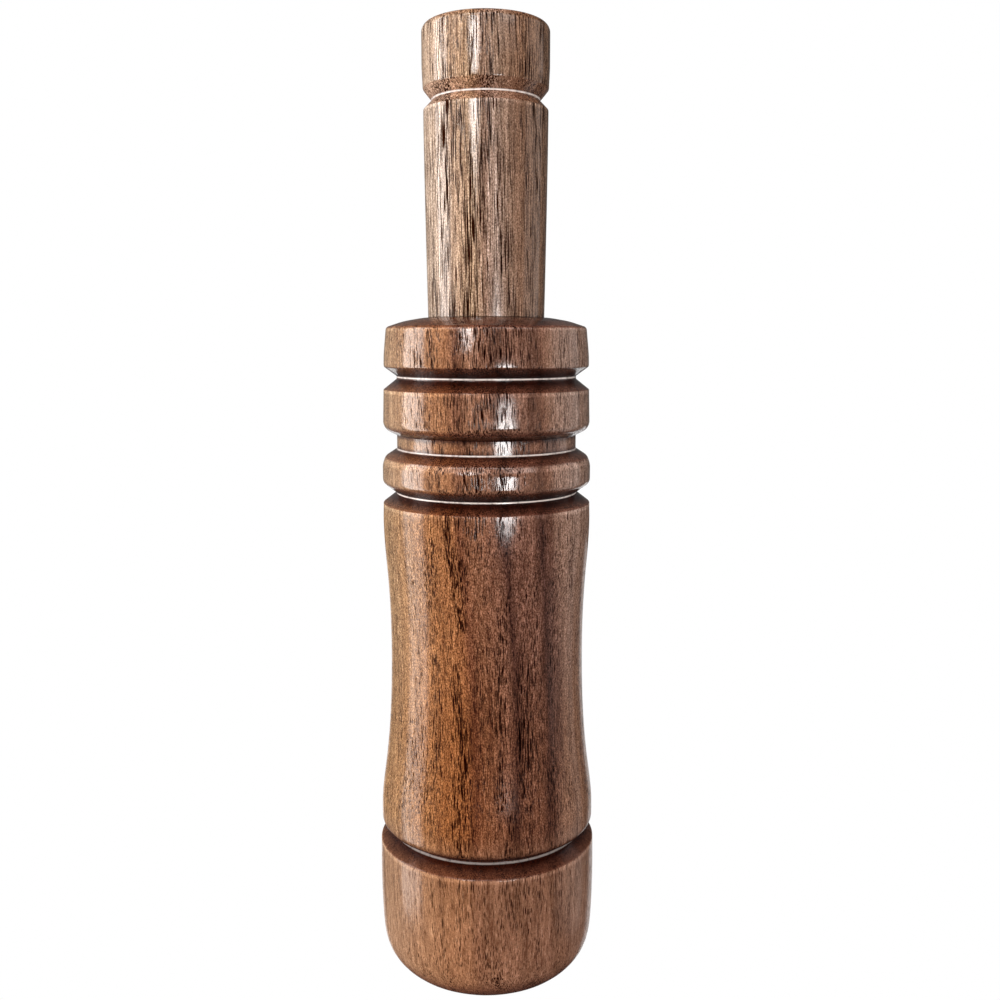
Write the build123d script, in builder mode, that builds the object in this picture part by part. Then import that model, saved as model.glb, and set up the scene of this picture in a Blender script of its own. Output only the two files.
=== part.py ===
"""Turned wooden duck call, in millimetres, +Z up.

The call stands on the rim of its mouthpiece, with the centre of that rim at the
origin. The insert (the stopper) plugs into the top of the barrel and carries the
tone board, whose tongue hangs down inside the barrel with the reeds on its front
(-Y) side. The insert slides out of the barrel along +Z, and turns in it about Z.
"""

import os
from math import asin, degrees

from build123d import *

# Overall
TOTAL_LENGTH = 150.0
BARREL_LENGTH = 106.7
BORE_RADIUS = 7.94  # a 5/8 inch bore

# Barrel: mouthpiece end
LIP_ROUND = 0.7
LIP_RADIUS = 9.4
FOOT_RADIUS = 17.58
FOOT_STRAIGHT_Z = 17.5
FOOT_TOP_Z = 22.25
MOUTH_GROOVE_RADIUS = 15.3
MOUTH_GROOVE_Z = 24.2

# Barrel: waisted grip
GRIP_LOW_RADIUS = 17.28
GRIP_LOW_Z = 27.8
WAIST_RADIUS = 15.44
WAIST_Z = 54.5
GRIP_TOP_RADIUS = 16.40
GRIP_TOP_Z = 75.6
GRIP_EDGE_Z = 77.85

# Barrel: three rings, parted by a V groove, the lanyard groove and another V groove
RING_RADIUS = 16.40
LOW_V_RADIUS = 14.3
LOW_V_Z = (79.42, 79.64)
LOW_RING_Z = (81.15, 84.0)
LOW_RING_SHOULDER = (15.95, 85.2)
LANYARD_GROOVE_RADIUS = 14.1
LANYARD_GROOVE_Z = (86.42, 88.62)
MID_RING_RADIUS = 16.26
MID_RING_Z = (89.7, 95.65)
HIGH_V_RADIUS = 14.05
HIGH_V_Z = (97.3, 97.75)
TOP_RING_RADIUS = 16.04
TOP_RING_Z = (99.2, 100.8, 105.25)
CROWN_SLOPE = (12.9, 106.15)
CROWN_FLAT_RADIUS = 9.8

# Insert: tenon inside the barrel
SEAT_GAP = 0.05
SEAT_Z = BARREL_LENGTH + SEAT_GAP
TENON_RADIUS = 7.8
TENON_LENGTH = 22.0
TENON_Z = SEAT_Z - TENON_LENGTH
RING_GROOVE_RADIUS = 6.2
RING_GROOVE_WIDTH = 2.3
LOWER_O_RING_Z = TENON_Z + 5.5
UPPER_O_RING_Z = TENON_Z + 15.5

# Insert: neck, groove and end ring outside the barrel
NECK_LOW_RADIUS = 9.03
NECK_MID_RADIUS = 9.32
NECK_MID_Z = 122.5
NECK_TOP_RADIUS = 9.50
NECK_TOP_Z = 137.6
NECK_GROOVE_RADIUS = 8.2
NECK_GROOVE_Z = (138.95, 139.1)
END_RING_RADIUS = 9.69
END_RING_Z = 140.75

# Insert: socket for the tone board, and the exhaust bore that flares to the top
SOCKET_RADIUS = 5.02
SOCKET_LENGTH = 20.0
THROAT_RADIUS = 3.6
THROAT_TOP_Z = 112.0
BELL_RADIUS = 6.2

# O-rings as they sit in the bore, a little squeezed
O_RING_SECTION_RADIUS = 0.835
O_RING_CENTRE_RADIUS = 7.055

# Tone board
SHANK_RADIUS = 5.0
SHANK_LENGTH = 19.8
HEAD_RADIUS = 7.5
HEAD_LENGTH = 12.0
HEAD_Z = TENON_Z - HEAD_LENGTH
TONGUE_RADIUS = 7.2
TONGUE_TIP_Z = 30.0
TONGUE_TIP_ROUND = 3.5
SEAT_Y = -0.49  # flat that the reeds lie on
TIP_DROP = 2.0  # how far the tongue's face curves away from the reeds
CHANNEL_RADIUS = 2.2
CHANNEL_CENTRE_Y = 1.75
CHANNEL_RISE = 2.75  # how far the channel's floor comes up on its way to the tip
CHANNEL_END_Z = 34.0
SLOT_BACK_Z = TENON_Z - 0.6
REED_SLOT = (13.0, 0.57)
WEDGE_SLOT = (10.0, 3.54)

# Reeds and wedge
REED_WIDTH = 12.7
REED_THICKNESS = 0.25
REED_BACK_Z = SLOT_BACK_Z - 0.2
LOWER_REED_TIP_Z = 30.8
UPPER_REED_TIP_Z = 32.4
LOWER_REED_Y = -0.50
UPPER_REED_Y = LOWER_REED_Y - REED_THICKNESS - 0.01
WEDGE_SIZE = (9.8, 3.5, 11.0)
WEDGE_Y = UPPER_REED_Y - REED_THICKNESS - 0.02


def save(part, name):
    """Label a finished piece and write it to its own STEP file."""
    part.label = name
    export_step(part, f"parts/{name}.step")


os.makedirs("parts", exist_ok=True)

# Barrel: one outline turned about Z, from the mouth's lip round to the crown
with BuildPart() as barrel:
    with BuildSketch(Plane.XZ):
        with BuildLine():
            Line((BORE_RADIUS, BARREL_LENGTH), (BORE_RADIUS, LIP_ROUND))
            lip = JernArc((BORE_RADIUS, LIP_ROUND), (0, -1), LIP_ROUND, 90)
            Line(lip @ 1, (LIP_RADIUS, 0))
            foot = Spline(
                (LIP_RADIUS, 0),
                (13.6, 1.02),
                (16.46, 4.05),
                (17.35, 8.6),
                (FOOT_RADIUS, FOOT_STRAIGHT_Z),
                tangents=((1, 0), (0, 1)),
            )
            mouth_groove = FilletPolyline(
                foot @ 1,
                (FOOT_RADIUS - 0.05, FOOT_TOP_Z),
                (MOUTH_GROOVE_RADIUS, MOUTH_GROOVE_Z - 0.1),
                (MOUTH_GROOVE_RADIUS, MOUTH_GROOVE_Z + 0.35),
                (GRIP_LOW_RADIUS, GRIP_LOW_Z - 2.6),
                (GRIP_LOW_RADIUS, GRIP_LOW_Z),
                radius=(0.6, 0.2, 0.2, 1.3),
            )
            grip = Spline(
                mouth_groove @ 1,
                (16.56, 34.9),
                (15.66, 45.1),
                (WAIST_RADIUS, WAIST_Z),
                (15.78, 65.1),
                (16.27, 71.6),
                (GRIP_TOP_RADIUS, GRIP_TOP_Z),
                tangents=((0, 1), (0, 1)),
            )
            rings = FilletPolyline(
                grip @ 1,
                (GRIP_TOP_RADIUS - 0.05, GRIP_EDGE_Z),
                (LOW_V_RADIUS, LOW_V_Z[0]),
                (LOW_V_RADIUS, LOW_V_Z[1]),
                (RING_RADIUS, LOW_RING_Z[0]),
                (RING_RADIUS, LOW_RING_Z[1]),
                LOW_RING_SHOULDER,
                (LANYARD_GROOVE_RADIUS, LANYARD_GROOVE_Z[0]),
                (LANYARD_GROOVE_RADIUS, LANYARD_GROOVE_Z[1]),
                (MID_RING_RADIUS, MID_RING_Z[0]),
                (MID_RING_RADIUS - 0.15, MID_RING_Z[1]),
                (HIGH_V_RADIUS, HIGH_V_Z[0]),
                (HIGH_V_RADIUS, HIGH_V_Z[1]),
                (TOP_RING_RADIUS, TOP_RING_Z[0]),
                (TOP_RING_RADIUS, TOP_RING_Z[1]),
                (TOP_RING_RADIUS - 0.42, TOP_RING_Z[2]),
                CROWN_SLOPE,
                (CROWN_FLAT_RADIUS, BARREL_LENGTH),
                (BORE_RADIUS, BARREL_LENGTH),
                radius=(0.15, 0.08, 0.08, 1.2, 3.0, 1.2, 0.25, 0.1)
                + (1.7, 0.15, 0.15, 0.15, 0.5, 20, 0.7, 10, 10),
            )
        make_face()
    revolve(axis=Axis.Z)
save(barrel.part, "barrel")

# Insert: tenon, neck and end ring in one turned outline, bored right through
with BuildPart() as insert:
    with BuildSketch(Plane.XZ):
        with BuildLine():
            Polyline(
                (THROAT_RADIUS, THROAT_TOP_Z),
                (THROAT_RADIUS, TENON_Z + SOCKET_LENGTH),
                (SOCKET_RADIUS, TENON_Z + SOCKET_LENGTH),
                (SOCKET_RADIUS, TENON_Z),
                (TENON_RADIUS - 0.5, TENON_Z),
                (TENON_RADIUS, TENON_Z + 0.5),
                (TENON_RADIUS, SEAT_Z),
                (NECK_LOW_RADIUS, SEAT_Z),
            )
            neck = ThreePointArc(
                (NECK_LOW_RADIUS, SEAT_Z),
                (NECK_MID_RADIUS, NECK_MID_Z),
                (NECK_TOP_RADIUS, NECK_TOP_Z - 1),
            )
            end_ring = FilletPolyline(
                neck @ 1,
                (NECK_TOP_RADIUS, NECK_TOP_Z),
                (NECK_GROOVE_RADIUS, NECK_GROOVE_Z[0]),
                (NECK_GROOVE_RADIUS, NECK_GROOVE_Z[1]),
                (END_RING_RADIUS - 0.14, END_RING_Z),
                (END_RING_RADIUS, END_RING_Z + 3),
                (END_RING_RADIUS, TOTAL_LENGTH),
                (BELL_RADIUS, TOTAL_LENGTH),
                (BELL_RADIUS - 0.3, TOTAL_LENGTH - 3),
                radius=(0.2, 0.12, 0.12, 0.5, 8, 1.2, 0.6),
            )
            Line(end_ring @ 1, (THROAT_RADIUS, THROAT_TOP_Z))
        make_face()
    revolve(axis=Axis.Z)
    for groove_z in (LOWER_O_RING_Z, UPPER_O_RING_Z):
        with BuildSketch(Plane.XZ):
            with Locations((TENON_RADIUS, groove_z)):
                Rectangle(2 * (TENON_RADIUS - RING_GROOVE_RADIUS), RING_GROOVE_WIDTH)
        revolve(axis=Axis.Z, mode=Mode.SUBTRACT)
save(insert.part, "insert")

# O-rings in the tenon's two grooves
for name, ring_z in (("o_ring_lower", LOWER_O_RING_Z), ("o_ring_upper", UPPER_O_RING_Z)):
    with BuildPart() as o_ring:
        with Locations((0, 0, ring_z)):
            Torus(O_RING_CENTRE_RADIUS, O_RING_SECTION_RADIUS)
    save(o_ring.part, name)


def channel_section():
    """U section of the tone channel: a round floor, open towards the reeds."""
    Circle(CHANNEL_RADIUS)
    with Locations((0, -CHANNEL_RADIUS)):
        Rectangle(2 * CHANNEL_RADIUS, 2 * CHANNEL_RADIUS)


# Tone board: shank, slotted head and a tongue whose face curves back to its tip
HEAD_PLANE = Plane.XY.offset(HEAD_Z)
CHANNEL_START = (0, CHANNEL_CENTRE_Y, HEAD_Z)
CHANNEL_RUN = Vector(0, -CHANNEL_RISE, CHANNEL_END_Z - HEAD_Z)
TONGUE_LENGTH = HEAD_Z - TONGUE_TIP_Z
FACE_CURVE_RADIUS = TONGUE_LENGTH**2 / (2 * TIP_DROP)
FACE_CURVE_ANGLE = degrees(asin((TONGUE_LENGTH + 0.5) / FACE_CURVE_RADIUS))

with BuildPart() as tone_board:
    with BuildSketch(Plane.XY.offset(TENON_Z)):
        Circle(SHANK_RADIUS)
    extrude(amount=SHANK_LENGTH)
    chamfer(tone_board.edges().group_by(Axis.Z)[-1], length=0.4)
    with BuildSketch(HEAD_PLANE):
        Circle(HEAD_RADIUS)
    extrude(amount=HEAD_LENGTH)
    with BuildSketch(HEAD_PLANE):
        Circle(TONGUE_RADIUS)
    extrude(amount=TONGUE_TIP_Z - HEAD_Z)
    # Reed face, then the bevel under the tip
    with BuildSketch(Plane.YZ):
        with BuildLine():
            face = JernArc((SEAT_Y, HEAD_Z), (0, -1), FACE_CURVE_RADIUS, FACE_CURVE_ANGLE)
            Polyline(
                face @ 1,
                (-HEAD_RADIUS, (face @ 1).Y),
                (-HEAD_RADIUS, HEAD_Z),
                (SEAT_Y, HEAD_Z),
            )
        make_face()
        with BuildLine():
            Polyline(
                (4.6, TONGUE_TIP_Z - 1),
                (TONGUE_RADIUS + 1, TONGUE_TIP_Z - 1),
                (TONGUE_RADIUS + 1, TONGUE_TIP_Z + 12),
                (4.6, TONGUE_TIP_Z - 1),
            )
        make_face()
    extrude(amount=TONGUE_RADIUS + 1, both=True, mode=Mode.SUBTRACT)
    # Tip rounded as seen from the front
    with BuildSketch(Plane.XZ):
        with Locations((0, TONGUE_TIP_Z)):
            Rectangle(2 * HEAD_RADIUS, 2 * TONGUE_TIP_ROUND)
        with Locations((0, TONGUE_TIP_Z)):
            RectangleRounded(
                2 * TONGUE_RADIUS,
                4 * TONGUE_TIP_ROUND,
                TONGUE_TIP_ROUND,
                align=(Align.CENTER, Align.MIN),
                mode=Mode.SUBTRACT,
            )
    extrude(amount=HEAD_RADIUS, both=True, mode=Mode.SUBTRACT)
    # Slot for the reeds, with the wedge's slot over it, closed at the back
    with BuildSketch(HEAD_PLANE):
        with Locations((0, SEAT_Y - REED_SLOT[1] / 2)):
            Rectangle(*REED_SLOT)
        with Locations((0, SEAT_Y - REED_SLOT[1] - WEDGE_SLOT[1] / 2)):
            Rectangle(*WEDGE_SLOT)
    extrude(amount=SLOT_BACK_Z - HEAD_Z, mode=Mode.SUBTRACT)
    # Tone channel: along the tongue, under the reeds in the head, then a round bore
    with BuildSketch(Plane(origin=CHANNEL_START, x_dir=(1, 0, 0), z_dir=(0, 0, 1))):
        channel_section()
    extrude(amount=SLOT_BACK_Z - HEAD_Z, mode=Mode.SUBTRACT)
    with BuildSketch(Plane(origin=CHANNEL_START, x_dir=(1, 0, 0), z_dir=(0, 0, 1))):
        Circle(CHANNEL_RADIUS)
    extrude(amount=HEAD_LENGTH + SHANK_LENGTH, mode=Mode.SUBTRACT)
    with BuildSketch(Plane(origin=CHANNEL_START, x_dir=(1, 0, 0), z_dir=-CHANNEL_RUN)):
        channel_section()
    extrude(amount=-CHANNEL_RUN.length, mode=Mode.SUBTRACT)
save(tone_board.part, "tone_board")


def make_reed(name, front_y, tip_z, tip_round):
    """Flat film reed with rounded tip corners; front_y is its face on the board's side."""
    with BuildPart() as reed:
        with Locations((0, front_y, REED_BACK_Z)):
            Box(
                REED_WIDTH,
                REED_THICKNESS,
                REED_BACK_Z - tip_z,
                align=(Align.CENTER, Align.MAX, Align.MAX),
            )
        fillet(reed.edges().filter_by(Axis.Y).group_by(Axis.Z)[0], radius=tip_round)
    save(reed.part, name)


make_reed("lower_reed", LOWER_REED_Y, LOWER_REED_TIP_Z, TONGUE_TIP_ROUND)
make_reed("upper_reed", UPPER_REED_Y, UPPER_REED_TIP_Z, TONGUE_TIP_ROUND + 1)

# Cork wedge, a little shorter than its slot
with BuildPart() as wedge:
    with Locations((0, WEDGE_Y, REED_BACK_Z)):
        Box(*WEDGE_SIZE, align=(Align.CENTER, Align.MAX, Align.MAX))
    chamfer(wedge.edges().filter_by(Axis.X).group_by(Axis.Z)[0], length=0.5)
save(wedge.part, "wedge")
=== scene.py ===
"""Looks of a turned walnut duck call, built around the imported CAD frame.

Lengths in the outlines, the woods' settings and the reeds are millimetres, and mm() turns
them into the scene's metres. The lamps, the floor and the camera are placed in metres.
"""

import math
from types import SimpleNamespace

import bpy
import numpy as np
from mathutils import Euler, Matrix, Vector


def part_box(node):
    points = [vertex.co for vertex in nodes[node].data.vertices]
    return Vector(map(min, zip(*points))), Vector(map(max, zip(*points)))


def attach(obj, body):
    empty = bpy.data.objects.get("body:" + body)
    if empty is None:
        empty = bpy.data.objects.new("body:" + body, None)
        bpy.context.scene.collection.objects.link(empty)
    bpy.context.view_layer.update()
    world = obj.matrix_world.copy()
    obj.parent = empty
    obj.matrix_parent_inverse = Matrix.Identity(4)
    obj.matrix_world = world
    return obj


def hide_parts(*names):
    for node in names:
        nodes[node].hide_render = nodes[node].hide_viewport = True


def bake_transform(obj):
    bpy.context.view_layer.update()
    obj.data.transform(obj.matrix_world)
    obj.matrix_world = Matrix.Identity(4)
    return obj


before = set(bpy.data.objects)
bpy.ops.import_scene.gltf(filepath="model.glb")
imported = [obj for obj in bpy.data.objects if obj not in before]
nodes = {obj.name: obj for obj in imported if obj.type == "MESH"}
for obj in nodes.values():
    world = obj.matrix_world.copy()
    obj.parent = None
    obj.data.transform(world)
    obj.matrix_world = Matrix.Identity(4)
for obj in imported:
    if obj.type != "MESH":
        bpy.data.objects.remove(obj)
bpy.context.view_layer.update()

MM_PER_METRE = 1000.0


def mm(value):
    """Millimetres as the scene's metres."""
    return value / MM_PER_METRE


def box_mm(node):
    """A CAD node's lowest and highest corners, in millimetres."""
    return [np.array(corner) * MM_PER_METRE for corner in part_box(node)]


# ---------------------------------------------------------------- outlines
ARC_STEP = math.radians(6)
LONGEST_RUN = 1.3  # between two points of a straight or a spline
SAME_POINT = 1e-4  # points closer than this are one
SEGMENTS = 216  # round each turned piece
SHARP_EDGE = math.radians(35)


def run(start, end):
    """Points from start up to, but without, end, no further apart than LONGEST_RUN."""
    start, end = np.array(start, float), np.array(end, float)
    count = max(1, math.ceil(np.linalg.norm(end - start) / LONGEST_RUN))
    return [start + (end - start) * i / count for i in range(count)]


def fillet_corner(before, corner, after, radius):
    """The arc of that radius that rounds a corner between two straights."""
    to_before, to_after = before - corner, after - corner
    to_before /= np.linalg.norm(to_before)
    to_after /= np.linalg.norm(to_after)
    half = math.acos(np.clip(to_before @ to_after, -1, 1)) / 2
    middle = (to_before + to_after) / np.linalg.norm(to_before + to_after)
    centre = corner + middle * radius / math.sin(half)
    first = corner + to_before * radius / math.tan(half) - centre
    turn = math.pi - 2 * half
    way = math.copysign(1, first[0] * (-middle)[1] - first[1] * (-middle)[0])
    steps = max(2, math.ceil(turn / ARC_STEP))
    arc = []
    for i in range(steps + 1):
        angle = way * turn * i / steps
        c, s = math.cos(angle), math.sin(angle)
        arc.append(centre + np.array([first[0] * c - first[1] * s, first[0] * s + first[1] * c]))
    return arc


def straights(points):
    """Points along straights with sharp corners, without the last point."""
    path = []
    for start, end in zip(points, points[1:]):
        path += run(start, end)
    return path


def rounded_straights(start, corners, end):
    """Points along straights whose corners, given as (radius, height, rounding), are arcs."""
    points = [np.array(point[:2], float) for point in [start, *corners, end]]
    path = [points[0]]
    for before, corner, after, (_, _, rounding) in zip(points, points[1:], points[2:], corners):
        arc = fillet_corner(before, corner, after, rounding)
        path += run(path[-1], arc[0])[1:] + arc
    return path + run(path[-1], points[-1])[1:] + [points[-1]]


def spline(points, start_way, end_way):
    """A smooth cubic through the points that leaves and arrives in the given directions."""
    points = np.array(points, float)
    spans = np.linalg.norm(np.diff(points, axis=0), axis=1)
    last = len(points) - 1
    matrix, known = np.eye(last + 1), np.zeros_like(points)
    known[0], known[last] = start_way, end_way
    for i in range(1, last):
        before, after = spans[i - 1], spans[i]
        matrix[i, i - 1 : i + 2] = after, 2 * (before + after), before
        known[i] = 3 * (
            (points[i] - points[i - 1]) * after / before
            + (points[i + 1] - points[i]) * before / after
        )
    slopes = np.linalg.solve(matrix, known)
    path = []
    for i, span in enumerate(spans):
        count = max(2, math.ceil(span / LONGEST_RUN))
        for t in np.arange(count) / count:
            path.append(
                points[i] * (1 + 2 * t) * (1 - t) ** 2
                + slopes[i] * span * t * (1 - t) ** 2
                + points[i + 1] * t * t * (3 - 2 * t)
                + slopes[i + 1] * span * t * t * (t - 1)
            )
    return path + [points[last]]


def lathe(name, outline):
    """A closed solid of revolution about Z from a closed (radius, height) outline."""
    rim = [outline[0]]
    for point in outline[1:]:
        if np.linalg.norm(point - rim[-1]) > SAME_POINT:
            rim.append(point)
    if np.linalg.norm(rim[0] - rim[-1]) < SAME_POINT:
        rim.pop()
    radius, height = mm(np.array(rim)).T
    angle = np.arange(SEGMENTS) * 2 * math.pi / SEGMENTS
    verts = np.stack(
        [
            np.outer(np.cos(angle), radius),
            np.outer(np.sin(angle), radius),
            np.broadcast_to(height, (SEGMENTS, len(rim))),
        ],
        axis=-1,
    ).reshape(-1, 3)
    count = len(rim)
    faces = []
    for i in range(SEGMENTS):
        here, there = i * count, (i + 1) % SEGMENTS * count
        for j in range(count):
            k = (j + 1) % count
            faces.append((here + j, there + j, there + k, here + k))
    return mesh_object(name, verts, faces)


def mesh_object(name, verts, faces):
    """A new smooth-shaded mesh, sharp only where its faces meet at a real edge."""
    mesh = bpy.data.meshes.new(name)
    mesh.from_pydata([tuple(v) for v in verts], [], faces)
    mesh.validate()
    mesh.shade_smooth()
    mesh.set_sharp_from_angle(angle=SHARP_EDGE)
    piece = bpy.data.objects.new(name, mesh)
    bpy.context.scene.collection.objects.link(piece)
    return piece


# ---------------------------------------------------------------- barrel
BARREL_TOP = box_mm("barrel")[1][2]
FOOT_R = box_mm("barrel")[1][0]
BORE_R = 7.94
LIP_ROUND = 0.7
FOOT_TOP = (FOOT_R, 17.5)
GRIP_BOTTOM = (17.28, 27.8)
GRIP_TOP = (16.40, 75.6)


def barrel_rings():
    """The three rings, with the grooves below and between them, and the crown."""
    low_groove = [(16.35, 77.85, 0.15), (14.3, 79.42, 0.08), (14.3, 79.64, 0.08)]
    low_ring = [(16.40, 81.15, 1.2), (16.40, 84.0, 3.0), (15.95, 85.2, 1.2)]
    lanyard_groove = [(14.1, 86.42, 0.25), (14.1, 88.62, 0.1)]
    mid_ring = [(16.26, 89.7, 1.7), (16.11, 95.65, 0.15)]
    high_groove = [(14.05, 97.3, 0.15), (14.05, 97.75, 0.15)]
    top_ring = [(16.04, 99.2, 0.5), (16.04, 100.8, 20), (15.62, 105.25, 0.7)]
    crown = [(12.9, 106.15, 10), (9.8, BARREL_TOP, 10)]
    corners = low_groove + low_ring + lanyard_groove + mid_ring + high_groove + top_ring + crown
    return rounded_straights(GRIP_TOP, corners, (BORE_R, BARREL_TOP))


def barrel_outline():
    """Up the outside from the mouthpiece's rim, over the crown, and down the bore."""
    bore_mouth = np.array([BORE_R, 0.0])
    lip = fillet_corner(bore_mouth + (0, 1), bore_mouth, bore_mouth + (1, 0), LIP_ROUND)
    foot = spline([(9.4, 0), (13.6, 1.02), (16.46, 4.05), (17.35, 8.6), FOOT_TOP], (1, 0), (0, 1))
    mouth_groove = rounded_straights(
        FOOT_TOP,
        [(17.53, 22.25, 0.6), (15.3, 24.1, 0.2), (15.3, 24.55, 0.2), (17.28, 25.2, 1.3)],
        GRIP_BOTTOM,
    )
    waist = [(16.56, 34.9), (15.66, 45.1), (15.44, 54.5), (15.78, 65.1), (16.27, 71.6)]
    grip = spline([GRIP_BOTTOM, *waist, GRIP_TOP], (0, 1), (0, 1))
    bore = run((BORE_R, BARREL_TOP), lip[0])
    return lip + foot + mouth_groove + grip + barrel_rings() + bore


# ---------------------------------------------------------------- insert
TENON_Z = box_mm("insert")[0][2]
TOP_Z = box_mm("insert")[1][2]
SEAT_GAP = 0.05
SEAT_Z = BARREL_TOP + SEAT_GAP
NECK_BOTTOM = (9.03, SEAT_Z)
NECK_TOP = (9.5, 136.6)
TENON_R = 7.8
TENON_CHAMFER = 0.5
O_RING_Z = [sum(box_mm(ring))[2] / 2 for ring in ("o_ring_lower", "o_ring_upper")]
O_RING_GROOVE_R = 6.2
O_RING_GROOVE_HALF = 1.15
SOCKET_R = 5.02
SOCKET_DEPTH = 20.0
SOCKET_TOP = TENON_Z + SOCKET_DEPTH
THROAT_R = 3.6
THROAT_TOP = 112.0
BELL_MOUTH = (5.9, 147.0)


def insert_outline():
    """Up the tenon and the neck, over the end ring, and down the exhaust bore and socket."""
    tenon = [(SOCKET_R, TENON_Z), (TENON_R - TENON_CHAMFER, TENON_Z)]
    tenon.append((TENON_R, TENON_Z + TENON_CHAMFER))
    for z in O_RING_Z:
        low, high = z - O_RING_GROOVE_HALF, z + O_RING_GROOVE_HALF
        tenon += [(TENON_R, low), (O_RING_GROOVE_R, low), (O_RING_GROOVE_R, high), (TENON_R, high)]
    tenon += [(TENON_R, SEAT_Z), NECK_BOTTOM]
    neck = spline([NECK_BOTTOM, (9.32, 122.5), NECK_TOP], (0.022, 1), (0.008, 1))
    groove = [(9.5, 137.6, 0.2), (8.2, 138.95, 0.12), (8.2, 139.1, 0.12), (9.55, 140.75, 0.5)]
    end_ring = [(9.69, 143.75, 8), (9.69, TOP_Z, 1.2), (6.2, TOP_Z, 0.6)]
    top = rounded_straights(NECK_TOP, groove + end_ring, BELL_MOUTH)
    bore = [BELL_MOUTH, (THROAT_R, THROAT_TOP), (THROAT_R, SOCKET_TOP)]
    bore += [(SOCKET_R, SOCKET_TOP), (SOCKET_R, TENON_Z)]
    return straights(tenon) + neck + top + straights(bore)


def turned(node, outline):
    """A lathed piece in the place of a CAD node, on the body of the same name."""
    piece = lathe(node + "_turned", outline)
    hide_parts(node)
    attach(piece, node)
    return piece


barrel = turned("barrel", barrel_outline())
insert = turned("insert", insert_outline())


# ---------------------------------------------------------------- materials
def srgb(red, green, blue):
    """Linear colour from 0 to 255 screen values."""
    return tuple(
        c / 12.92 if c <= 0.04045 else ((c + 0.055) / 1.055) ** 2.4
        for c in (red / 255, green / 255, blue / 255)
    ) + (1.0,)


def tone(red, green, blue):
    """A linear colour, or the factors to multiply one by."""
    return (red, green, blue, 1.0)


def grey(value):
    """A tone that is the same in all three channels."""
    return tone(value, value, value)


DASH_CORE = 0.75  # a dash is full up to this share of its radius
MIX_INPUTS = (0, 6, 7)  # a Mix node's factor and its two colours
MIX_OUTPUT = 2  # its mixed colour


class Graph:
    """A short way to add nodes to a material's or the world's node tree."""

    def __init__(self, tree):
        self.tree = tree

    def put(self, socket, value):
        """Links another socket into this one, or sets its plain value."""
        if isinstance(value, bpy.types.NodeSocket):
            self.tree.links.new(value, socket)
        else:
            socket.default_value = value

    def node(self, kind, inputs=(), **settings):
        """A new node with its settings, and with its inputs linked or set."""
        made = self.tree.nodes.new(kind)
        for key, value in settings.items():
            setattr(made, key, value)
        for key, value in dict(inputs).items():
            self.put(made.inputs[key], value)
        return made

    def math(self, operation, a, b=0.0, c=0.0):
        """One operation on up to three values."""
        return self.node("ShaderNodeMath", {0: a, 1: b, 2: c}, operation=operation).outputs[0]

    def split(self, vector):
        """A vector's X, Y and Z."""
        return self.node("ShaderNodeSeparateXYZ", {0: vector}).outputs

    def stretch(self, vector, scale, turn=(0, 0, 0)):
        """The vector scaled along each axis and then turned."""
        inputs = {"Vector": vector, "Scale": scale, "Rotation": turn}
        return self.node("ShaderNodeMapping", inputs).outputs[0]

    def in_mm(self, turn=(0, 0, 0)):
        """The object's own coordinates in millimetres, and turned where the grain leans."""
        coord = self.node("ShaderNodeTexCoord").outputs["Object"]
        return self.stretch(coord, (MM_PER_METRE,) * 3, turn)

    def noise(self, vector, scale, detail=2.0, roughness=0.5):
        """Noise from 0 to 1, with the scale as its waves in a millimetre along each axis."""
        spread = self.stretch(vector, scale)
        inputs = {"Vector": spread, "Scale": 1.0, "Detail": detail, "Roughness": roughness}
        return self.node("ShaderNodeTexNoise", inputs).outputs["Fac"]

    def cells(self, vector, scale):
        """Scattered cells, with the scale as their number in a millimetre along each axis."""
        inputs = {"Vector": self.stretch(vector, scale), "Scale": 1.0, "Randomness": 1.0}
        return self.node("ShaderNodeTexVoronoi", inputs).outputs

    def dashes(self, vector, across, along, share):
        """1 inside long thin cells whose radius is this share of the spacing between them."""
        cells = self.cells(vector, (1 / across, 1 / across, 1 / along))
        away = self.math("DIVIDE", cells["Distance"], share)
        return self.between(away, DASH_CORE, 1.0, 1.0, 0.0)

    def between(self, value, low, high, to_low=0.0, to_high=1.0):
        """Runs from to_low to to_high while the value runs from low to high."""
        inputs = {"Value": value, 1: low, 2: high, 3: to_low, 4: to_high}
        return self.node("ShaderNodeMapRange", inputs, clamp=True).outputs[0]

    def near(self, value, middle, full, gone, strength=1.0):
        """The strength near the middle, which fades to 0 between two distances from it.

        It is full up to the first distance and gone from the second.
        """
        away = self.math("ABSOLUTE", self.math("SUBTRACT", value, middle))
        return self.between(away, full, gone, strength, 0.0)

    def ramp(self, value, stops, low=0.0, high=1.0):
        """A colour by the value, from stops placed between low and high."""
        made = self.node("ShaderNodeValToRGB", {"Fac": self.between(value, low, high)})
        elements = made.color_ramp.elements
        while len(elements) < len(stops):
            elements.new(0.5)
        for element, (place, colour) in zip(elements, stops):
            element.position = (place - low) / (high - low)
            element.color = colour
        return made.outputs["Color"]

    def mix(self, amount, a, b, blend="MIX"):
        """Colour a with b blended over it by the amount."""
        made = self.node("ShaderNodeMix", data_type="RGBA", blend_type=blend)
        for socket, value in zip(MIX_INPUTS, (amount, a, b)):
            self.put(made.inputs[socket], value)
        return made.outputs[MIX_OUTPUT]

    def tint(self, colour, factors, amount=1.0):
        """The colour multiplied by a tone, as strongly as the amount says."""
        return self.mix(amount, colour, factors, "MULTIPLY")

    def bump(self, height, distance, strength):
        """A normal that follows the height, where a height of 1 is as tall as the distance."""
        inputs = {"Height": height, "Distance": distance, "Strength": strength}
        return self.node("ShaderNodeBump", inputs).outputs[0]


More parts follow.
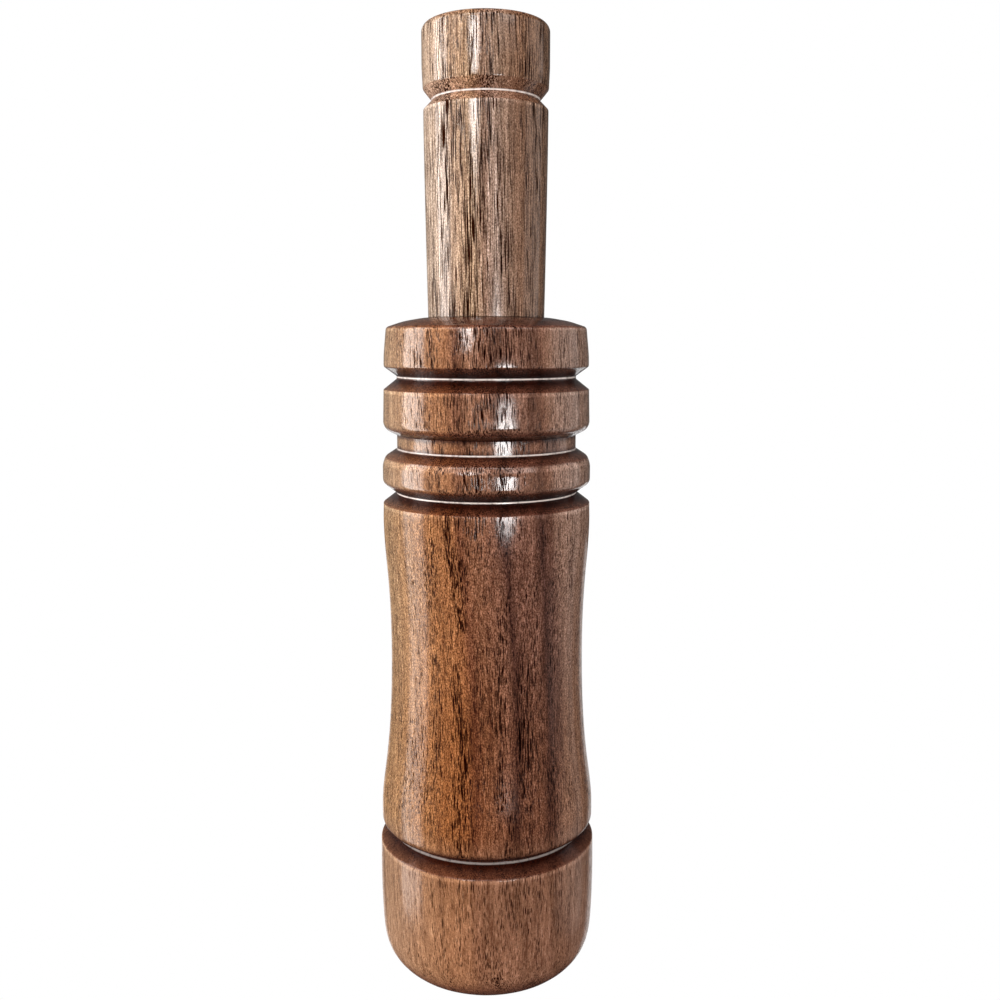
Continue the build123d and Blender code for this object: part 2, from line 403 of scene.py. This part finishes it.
def new_material(name):
    """A material, its graph, and its shader's inputs."""
    made = bpy.data.materials.new(name)
    made.use_nodes = True
    graph = Graph(made.node_tree)
    return made, graph, made.node_tree.nodes["Principled BSDF"].inputs


# ---------------------------------------------------------------- walnut
# waves in a millimetre: twice across the grain, and along it
LAYER_WAVES = (0.10, 0.10, 0.02)
STREAKS = (1.3, 1.3, 0.035)
SPECKS = (6.2, 6.2, 3.6)
CROWDS = (0.45, 0.45, 0.04)
THREADS_ACROSS = 5.2

LAYER_WAVE_HEIGHT = 3.0
BAND_REACH = 20.0  # the band colours run this far to both sides of the layer through the axis

# how strong the threads are outside the open grain, and how wide the pores are in each place
CLOSED_GRAIN_THREADS = 0.7
SPARSE_PORES = 0.55
CROWDED_PORES = 1.15
CLOSED_GRAIN_PORES = 0.85
OPEN_GRAIN_PORES = 1.15
PLAIN_WOOD_PORES = 0.75

# the upward part of the surface's direction, where end grain begins and where it is full
END_GRAIN_FROM = 0.3
END_GRAIN_FULL = 0.62

# how far the groove staining with its painted shade and the painted edge highlights stay full, as
# shares of their reach
GROOVE_STAIN_AND_SHADE_CORE = 0.35
EDGE_HIGHLIGHT_CORE = 0.3

# half the width of a painted highlight line in a groove, without and with its soft edges
HIGHLIGHT_LINE_CORE = 0.06
HIGHLIGHT_LINE_REACH = 0.15

COAT_STEP_HALF = 1.0  # half the height over which the lacquer's weight changes

# dark tones go redder and pale ones greyer, as in oiled wood
STREAK_TONES = [
    (0.30, tone(0.56, 0.48, 0.44)),
    (0.44, grey(0.88)),
    (0.56, grey(1.05)),
    (0.70, tone(1.30, 1.38, 1.45)),
]
SOFT_FIBRE = [
    (0.30, tone(0.42, 0.34, 0.30)),
    (0.45, grey(0.88)),
    (0.55, grey(1.08)),
    (0.70, tone(1.50, 1.68, 1.85)),
]
BOLD_FIBRE = [
    (0.32, tone(0.22, 0.15, 0.12)),
    (0.43, grey(0.80)),
    (0.54, grey(1.10)),
    (0.68, tone(1.75, 1.92, 2.08)),
]
FLECK_TONES = [
    (0.29, tone(0.30, 0.22, 0.19)),
    (0.45, grey(0.83)),
    (0.55, grey(1.10)),
    (0.69, tone(1.85, 2.0, 2.2)),
]
PORE_TINT = tone(0.05, 0.015, 0.006)
# lightens the edges as a painted highlight
EDGE_HIGHLIGHT_TINT = tone(1.45, 1.55, 1.65)
# darkens the grooves: partly staining, partly painted shade
GROOVE_STAIN_AND_SHADE_TINT = tone(0.22, 0.13, 0.12)
# the colour of the painted highlight lines in the grooves
HIGHLIGHT_LINE_COLOUR = srgb(212, 198, 190)


def growth_layer(g, grain, centre):
    """Millimetres from the growth layer through the axis to a point's own layer."""
    flat = g.stretch(grain, (1, 1, 0))
    away = g.node("ShaderNodeVectorMath", {0: flat, 1: centre}, operation="DISTANCE")
    layer = g.math("SUBTRACT", away.outputs["Value"], Vector(centre).length)
    wave = g.noise(grain, LAYER_WAVES, detail=3)
    wave = g.math("MULTIPLY_ADD", wave, LAYER_WAVE_HEIGHT, -LAYER_WAVE_HEIGHT / 2)
    return g.math("ADD", layer, wave)


def wood_at_point(g, wood):
    """What the colour, the pores and the lacquer of one point are worked out from."""
    grain = g.in_mm(wood.lean)
    height = g.split(g.in_mm())["Z"]
    layer = growth_layer(g, grain, wood.centre)
    threads = (THREADS_ACROSS, THREADS_ACROSS, 1 / wood.fibre_length)
    figure_stops = [(z, grey(strength)) for z, strength in wood.figure_by_height]
    return SimpleNamespace(
        grain=grain,
        height=height,
        layer=layer,
        open_grain=g.near(layer, wood.open_layer, wood.open_reach, 2 * wood.open_reach),
        figure=g.ramp(height, figure_stops, 0.0, TOP_Z),
        streak=g.noise(grain, STREAKS, detail=4, roughness=0.62),
        thread=g.noise(grain, threads, detail=2, roughness=0.6),
        speck=g.noise(grain, SPECKS, detail=1, roughness=0.6),
    )


def bare_wood(g, point, wood):
    """The growth bands, with streaks in them, then threads of fibre, then flecks."""
    bands = g.ramp(point.layer, wood.bands, -BAND_REACH, BAND_REACH)
    colour = g.mix(point.figure, wood.plain_tone, bands)
    colour = g.tint(colour, g.ramp(point.height, wood.tones_by_height, 0.0, TOP_Z))
    colour = g.tint(colour, g.ramp(point.streak, STREAK_TONES))
    threads = g.between(point.open_grain, 0.0, 1.0, CLOSED_GRAIN_THREADS, 1.0)
    colour = g.tint(colour, g.ramp(point.thread, wood.fibre_tones), threads)
    flecks = g.math("MULTIPLY", point.figure, wood.flecks)
    return g.tint(colour, g.ramp(point.speck, FLECK_TONES), flecks)


def open_pores(g, point, wood):
    """1 in the long thin pores that the surface cuts, closer in some places than in others."""
    crowd = g.between(g.noise(point.grain, CROWDS), 0.38, 0.62, SPARSE_PORES, CROWDED_PORES)
    in_grain = g.between(point.open_grain, 0.0, 1.0, CLOSED_GRAIN_PORES, OPEN_GRAIN_PORES)
    in_figure = g.between(point.figure, 0.0, 1.0, PLAIN_WOOD_PORES, 1.0)
    crowd = g.math("MULTIPLY", g.math("MULTIPLY", crowd, in_grain), in_figure)
    short, long = (
        g.dashes(point.grain, across, along, g.math("MULTIPLY", crowd, share))
        for across, along, share in (wood.short_pores, wood.long_pores)
    )
    return g.math("MAXIMUM", short, long)


def end_grain(g):
    """1 where the outline turns away from the grain, so that the ends of the fibres show."""
    facing = g.split(g.node("ShaderNodeTexCoord").outputs["Normal"])["Z"]
    return g.between(g.math("ABSOLUTE", facing), END_GRAIN_FROM, END_GRAIN_FULL)


def stain_shade_and_highlights(g, colour, point, wood):
    """Stain and painted shade in the grooves, a painted highlight line in the narrow ones, and
    painted highlights on the edges.
    """
    for middle, reach, depth in wood.grooves:
        # darker near each groove: partly staining, partly painted shade
        stain_and_shade = g.near(point.height, middle, GROOVE_STAIN_AND_SHADE_CORE * reach, reach, depth)
        colour = g.tint(colour, GROOVE_STAIN_AND_SHADE_TINT, stain_and_shade)
    # painted highlight lines at the groove bottoms, broken up by the streaks
    unbroken = g.between(point.streak, 0.35, 0.5, to_low=0.5)
    for middle, strength in wood.polish_lines:
        left = g.near(point.height, middle, HIGHLIGHT_LINE_CORE, HIGHLIGHT_LINE_REACH, strength)
        colour = g.mix(g.math("MULTIPLY", left, unbroken), colour, HIGHLIGHT_LINE_COLOUR)
    for middle, reach in wood.worn_edges:
        # painted highlight: a lighter band along each edge
        worn = g.near(point.height, middle, EDGE_HIGHLIGHT_CORE * reach, reach)
        colour = g.tint(colour, EDGE_HIGHLIGHT_TINT, worn)
    return colour


def dented(g, speck, pores, speck_height, depth, strength):
    """The bump of a surface with small specks and with pores sunk to the depth."""
    height = g.math("SUBTRACT", g.math("MULTIPLY", speck, speck_height), pores)
    return g.bump(height, mm(depth), strength)


def walnut(name, wood):
    """Oiled walnut under a clear coat, which has sunk into the pores and the dark threads."""
    made, g, shader = new_material(name)
    point = wood_at_point(g, wood)
    pores = open_pores(g, point, wood)
    colour = g.tint(bare_wood(g, point, wood), PORE_TINT, pores)
    colour = g.tint(colour, wood.end_grain_tint, end_grain(g))
    g.put(shader["Base Color"], stain_shade_and_highlights(g, colour, point, wood))
    g.put(shader["Roughness"], g.between(point.thread, 0.3, 0.7, to_low=0.40, to_high=0.52))
    g.put(shader["Specular IOR Level"], 0.0)
    relief = dented(g, point.speck, pores, speck_height=0.5, depth=0.04, strength=0.5)
    g.put(shader["Normal"], relief)

    coat = g.between(
        point.height,
        wood.coat_step - COAT_STEP_HALF,
        wood.coat_step + COAT_STEP_HALF,
        wood.coat_below,
        wood.coat_above,
    )
    dark_thread = g.between(point.thread, 0.30, 0.42, to_low=0.9, to_high=0.0)
    unsunk = g.math("SUBTRACT", 1.0, g.math("MAXIMUM", pores, dark_thread))
    g.put(shader["Coat Weight"], g.math("MULTIPLY", coat, unsunk))
    g.put(shader["Coat Roughness"], 0.15)
    skin = dented(g, point.speck, pores, speck_height=0.6, depth=0.03, strength=0.35)
    g.put(shader["Coat Normal"], skin)
    return made


# What each wood is given:
# - lean: how the grain leans; centre: the tree's heart, which the growth layers lie round
# - bands: colours by the distance from the layer through the axis
# - plain_tone: what the bands fade to where the figure is weak
# - tones_by_height: how the colour changes with height; figure_by_height: how strongly the figure
#   shows
# - open_layer, open_reach: the middle of the open grain, and how far it goes on both sides
# - short_pores, long_pores: spacing across and along the grain, and radius as a share of it
# - grooves: height, reach and depth of the staining and painted shade; painted highlight lines:
#   height and strength
# - painted highlights on the edges: height and reach
# - coat_step: the height at which the lacquer's weight goes from coat_below to coat_above
BARREL_WOOD = SimpleNamespace(
    lean=(math.radians(3), math.radians(1.5), 0),
    centre=(-70.0, 12.0, 0.0),
    bands=[
        (-20, srgb(146, 116, 84)),
        (-9, srgb(133, 99, 68)),
        (-4.5, srgb(132, 91, 57)),
        (-0.5, srgb(124, 78, 44)),
        (3.2, srgb(118, 72, 42)),
        (4.6, srgb(94, 54, 34)),
        (6.2, srgb(108, 68, 46)),
        (9.2, srgb(106, 68, 50)),
        (10.3, srgb(64, 36, 26)),
        (11.6, srgb(98, 63, 48)),
        (13.4, srgb(102, 67, 52)),
        (14.4, srgb(62, 37, 29)),
        (15.4, srgb(90, 57, 43)),
        (16.4, srgb(118, 84, 66)),
        (20, srgb(126, 94, 76)),
    ],
    plain_tone=srgb(112, 72, 48),
    tones_by_height=[
        (0, tone(1.32, 1.46, 1.70)),
        (10, tone(1.22, 1.34, 1.54)),
        (18, tone(1.06, 1.16, 1.30)),
        (25, tone(1.02, 1.10, 1.22)),
        (29, tone(0.88, 0.78, 0.66)),
        (44, tone(0.90, 0.82, 0.72)),
        (56, grey(1.0)),
        (76, tone(1.02, 1.06, 1.10)),
        (80, tone(1.12, 1.24, 1.36)),
    ],
    figure_by_height=[(25, 0.38), (29, 1.0), (76, 1.0), (80, 0.75)],
    open_layer=6.5,
    open_reach=5.0,
    short_pores=(0.19, 2.4, 0.37),
    long_pores=(0.27, 5.0, 0.29),
    fibre_length=1.8,
    fibre_tones=SOFT_FIBRE,
    flecks=1.0,
    end_grain_tint=tone(0.55, 0.40, 0.36),
    # groove staining with painted shade, then painted highlight lines and painted highlights on
    # edges
    grooves=[
        (24.3, 2.1, 1.0),
        (79.5, 1.6, 1.0),
        (86.4, 0.8, 0.8),
        (88.7, 0.7, 0.8),
        (97.5, 1.8, 1.0),
    ],
    # painted highlight lines in the grooves
    polish_lines=[(24.0, 0.4), (79.58, 1.0), (86.45, 0.7), (97.6, 1.0)],
    # painted highlights on the edges
    worn_edges=[(22.0, 0.5), (77.7, 0.5), (84.6, 0.6), (95.4, 0.4), (105.0, 0.5)],
    coat_step=77.5,
    coat_below=0.40,
    coat_above=0.95,
)
INSERT_WOOD = SimpleNamespace(
    lean=(math.radians(-1), math.radians(0.8), 0),
    centre=(-60.0, -10.0, 0.0),
    bands=[
        (-20, srgb(168, 144, 124)),
        (-6.5, srgb(164, 138, 116)),
        (-4.9, srgb(146, 118, 96)),
        (-3, srgb(148, 118, 94)),
        (-1.2, srgb(140, 110, 84)),
        (0.5, srgb(122, 92, 74)),
        (2.2, srgb(136, 110, 94)),
        (4, srgb(126, 98, 80)),
        (6, srgb(116, 85, 66)),
        (9, srgb(108, 76, 54)),
        (20, srgb(130, 100, 80)),
    ],
    plain_tone=srgb(130, 100, 80),
    tones_by_height=[(137, grey(0.93)), (141, tone(0.94, 0.90, 0.84))],
    figure_by_height=[(0, 1.0), (TOP_Z, 1.0)],
    open_layer=-1.5,
    open_reach=3.2,
    short_pores=(0.18, 4.5, 0.42),
    long_pores=(0.30, 9.0, 0.36),
    fibre_length=9.0,
    fibre_tones=BOLD_FIBRE,
    flecks=0.8,
    end_grain_tint=tone(1.15, 1.02, 0.98),
    # groove staining with painted shade, then painted highlight lines and painted highlights on
    # edges
    grooves=[(139.0, 1.0, 0.15)],
    # painted highlight line in the groove
    polish_lines=[(139.1, 1.0)],
    # painted highlights on the edges
    worn_edges=[(137.4, 0.3), (149.8, 0.2)],
    coat_step=140.0,
    coat_below=1.0,
    coat_above=1.0,
)

barrel.data.materials.append(walnut("walnut_barrel", BARREL_WOOD))
insert.data.materials.append(walnut("walnut_insert", INSERT_WOOD))


# ---------------------------------------------------------------- plastic, cork and rubber
def moulded_plastic():
    """Black plastic straight from the mould, faintly uneven."""
    made, g, shader = new_material("black_moulded_plastic")
    skin = g.noise(g.in_mm(), (1.6, 1.6, 1.6), detail=3)
    flow = g.noise(g.in_mm(), (0.25, 0.25, 0.06))
    colour = g.mix(g.between(flow, 0.3, 0.7), srgb(26, 26, 28), srgb(38, 38, 41))
    g.put(shader["Base Color"], colour)
    g.put(shader["Roughness"], g.between(skin, 0.3, 0.7, to_low=0.28, to_high=0.44))
    g.put(shader["Normal"], g.bump(skin, mm(0.03), strength=0.6))
    return made


def cork():
    """Pressed cork: patches of several browns, dark seams and small pits."""
    made, g, shader = new_material("pressed_cork")
    browns = [(0.0, srgb(150, 104, 62)), (0.5, srgb(188, 138, 88)), (1.0, srgb(214, 168, 114))]
    patches = g.cells(g.in_mm(), (0.95, 0.95, 0.75))
    colour = g.ramp(g.split(patches["Color"])["X"], browns)
    cloud = g.noise(g.in_mm(), (0.9, 0.9, 0.9))
    colour = g.tint(colour, g.ramp(cloud, [(0.3, grey(0.75)), (0.7, grey(1.15))]))
    seam_inputs = {"Vector": g.in_mm(), "Scale": 0.95}
    seams = g.node("ShaderNodeTexVoronoi", seam_inputs, feature="DISTANCE_TO_EDGE")
    seam = g.between(seams.outputs["Distance"], 0.02, 0.09, to_low=0.7, to_high=0.0)
    pit = g.between(g.noise(g.in_mm(), (2.6, 2.6, 2.6)), 0.64, 0.70)
    dark = g.math("MAXIMUM", seam, pit)
    g.put(shader["Base Color"], g.tint(colour, srgb(110, 70, 44), dark))
    g.put(shader["Roughness"], 0.85)
    g.put(shader["Specular IOR Level"], 0.25)
    g.put(shader["Normal"], g.bump(g.math("MULTIPLY", dark, -1.0), mm(0.12), strength=0.8))
    return made


def rubber():
    """Matt black rubber with a little dust."""
    made, g, shader = new_material("o_ring_rubber")
    dust = g.noise(g.in_mm(), (3.0, 3.0, 3.0), detail=3)
    colour = g.mix(g.between(dust, 0.45, 0.75), srgb(22, 22, 23), srgb(52, 51, 50))
    g.put(shader["Base Color"], colour)
    g.put(shader["Roughness"], g.between(dust, 0.3, 0.7, to_low=0.5, to_high=0.7))
    g.put(shader["Specular IOR Level"], 0.35)
    g.put(shader["Normal"], g.bump(dust, mm(0.02), strength=0.5))
    return made


def reed_film():
    """Milky plastic film, brushed along its length."""
    made, g, shader = new_material("reed_film")
    brushed = g.noise(g.in_mm(), (5.0, 5.0, 0.15), detail=3)
    colour = g.mix(g.between(brushed, 0.3, 0.7), srgb(168, 172, 168), srgb(192, 195, 190))
    g.put(shader["Base Color"], colour)
    g.put(shader["Roughness"], g.between(brushed, 0.3, 0.7, to_low=0.22, to_high=0.38))
    g.put(shader["Transmission Weight"], 0.25)
    g.put(shader["Normal"], g.bump(brushed, mm(0.008), strength=0.5))
    return made


def finish_cad_node(node, material):
    """Gives a carried-over CAD node its own material."""
    slots = nodes[node].data.materials
    slots.clear()
    slots.append(material)


finish_cad_node("tone_board", moulded_plastic())
finish_cad_node("wedge", cork())
ring_rubber = rubber()
for node in ("o_ring_lower", "o_ring_upper"):
    finish_cad_node(node, ring_rubber)


# ---------------------------------------------------------------- reeds
REED_ACROSS = (-1.0, -0.5, 0.0, 0.5, 1.0)  # where a reed's points lie, in half widths
REED_TIP_STEPS = 10


def reed_outline(tip, back, half_width, tip_round):
    """Rows of (height, half width) from the rounded tip of the reed to its back."""
    rows = []
    for i in range(REED_TIP_STEPS):
        angle = math.pi / 2 * i / REED_TIP_STEPS
        height = tip + tip_round * (1 - math.cos(angle))
        rows.append((height, half_width - tip_round * (1 - math.sin(angle))))
    return rows + run((tip + tip_round, half_width), (back, half_width)) + [(back, half_width)]


def reed(node, tip_round, film):
    """A plate in the CAD reed's place, from its clamp to its tip."""
    low, high = box_mm(node)
    tip = low[2]
    rows = reed_outline(tip, high[2], high[0], tip_round)
    row = 2 * len(REED_ACROSS)
    verts, faces = [], []
    for z, half in rows:
        verts += [mm(np.array((x * half, low[1], z))) for x in REED_ACROSS]
        verts += [mm(np.array((x * half, high[1], z))) for x in reversed(REED_ACROSS)]
    for here in range(0, (len(rows) - 1) * row, row):
        for j in range(row):
            k = (j + 1) % row
            faces.append((here + j, here + k, here + row + k, here + row + j))
    last_row = len(verts) - row
    for j in range(len(REED_ACROSS) - 1):
        end = (j, row - 1 - j, row - 2 - j, j + 1)
        faces.append(end)
        faces.append(tuple(last_row + corner for corner in reversed(end)))
    plate = mesh_object(node + "_film", verts, faces)
    plate.data.materials.append(film)
    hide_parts(node)
    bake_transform(plate)


film = reed_film()
reed("lower_reed", 3.5, film)
reed("upper_reed", 4.5, film)


# ---------------------------------------------------------------- floor, light and camera
CALL_MIDDLE = Vector((0, 0, mm(TOP_Z) / 2))
FLOOR_REACH = 3.0
CAMERA_PLACE = (0.00214, -0.172, 0.10326)
CAMERA_DIP = 8.36  # degrees below level


def soft_box(name, azimuth, elevation, distance, size, glow, shape="RECTANGLE"):
    """A lamp aimed at the middle of the call.

    Azimuth 0 is on the camera's side and 90 is on the right. The glow is how bright the
    lamp's face is, where 1 is white.
    """
    a, e = math.radians(azimuth), math.radians(elevation)
    way = Vector((math.sin(a) * math.cos(e), -math.cos(a) * math.cos(e), math.sin(e)))
    light = bpy.data.lights.new(name, "AREA")
    light.shape = shape
    light.size, light.size_y = size
    light.energy = glow * math.pi * size[0] * size[1]
    lamp = bpy.data.objects.new(name, light)
    lamp.location = CALL_MIDDLE + way * distance
    lamp.rotation_euler = (-way).to_track_quat("-Z", "Y").to_euler()
    bpy.context.scene.collection.objects.link(lamp)


def white_floor():
    """A plain floor that shows pure white and adds no light of its own to the object."""
    far, near = FLOOR_REACH, -FLOOR_REACH
    corners = [(near, near, 0), (far, near, 0), (far, far, 0), (near, far, 0)]
    floor = mesh_object("floor", corners, [(0, 1, 2, 3)])
    made, g, shader = new_material("pale_floor")
    g.put(shader["Base Color"], grey(0.0))
    g.put(shader["Specular IOR Level"], 0.0)
    g.put(shader["Emission Color"], grey(1.0))
    g.put(shader["Emission Strength"], 1.0)
    floor.data.materials.append(made)
    floor.visible_diffuse = False
    floor.visible_glossy = False
    floor.visible_shadow = False


def studio_surround():
    """A room that is brighter on the left and round the horizon, and plain white in view."""
    world = bpy.data.worlds.new("studio")
    world.use_nodes = True
    g = Graph(world.node_tree)
    way = g.split(g.node("ShaderNodeTexCoord").outputs["Generated"])
    side = g.between(way["X"], -1.0, 1.0, 0.9, 0.12)
    belt = g.between(g.math("ABSOLUTE", way["Z"]), 0.35, 0.75, 1.0, 0.35)
    ends = g.between(g.math("ABSOLUTE", way["Y"]), 0.3, 0.9, 1.0, 0.3)
    light = g.math("MULTIPLY", g.math("MULTIPLY", side, belt), ends)
    in_view = g.node("ShaderNodeLightPath").outputs["Is Camera Ray"]
    background = world.node_tree.nodes["Background"].inputs
    g.put(background["Strength"], g.math("MAXIMUM", light, in_view))
    g.put(background["Color"], grey(1.0))
    bpy.context.scene.world = world


def photo_camera():
    """The photo's view: close in front of the call, and looking slightly down on it."""
    camera = bpy.data.cameras.new("camera")
    camera.sensor_width = 36.0
    camera.lens = 39.17
    camera.clip_start = 0.01
    holder = bpy.data.objects.new("camera", camera)
    holder.location = CAMERA_PLACE
    holder.rotation_euler = Euler((math.radians(90 - CAMERA_DIP), 0, 0))
    bpy.context.scene.collection.objects.link(holder)
    bpy.context.scene.camera = holder


soft_box("left_box", -87, 3, 0.6, (0.32, 0.9), 6.6)
soft_box("right_box", 100, 0, 0.6, (0.5, 0.9), 0.8)
soft_box("front_box_right", 21.5, -4.5, 0.45, (0.16, 0.105), 22.0, "ELLIPSE")
soft_box("front_box_left", -20, 19.5, 0.6, (0.18, 0.16), 15.0, "ELLIPSE")
soft_box("rim_strip", -8, 47, 0.6, (0.7, 0.05), 14.0)
soft_box("back_fill", 175, -28, 0.9, (0.9, 0.5), 1.5)
soft_box("key_left", -30, 32, 0.9, (0.9, 0.35), 2.0)
soft_box("key_right", 40, 30, 0.9, (0.5, 0.3), 2.8)
white_floor()
studio_surround()
photo_camera()
bpy.context.scene.view_settings.view_transform = "Standard"
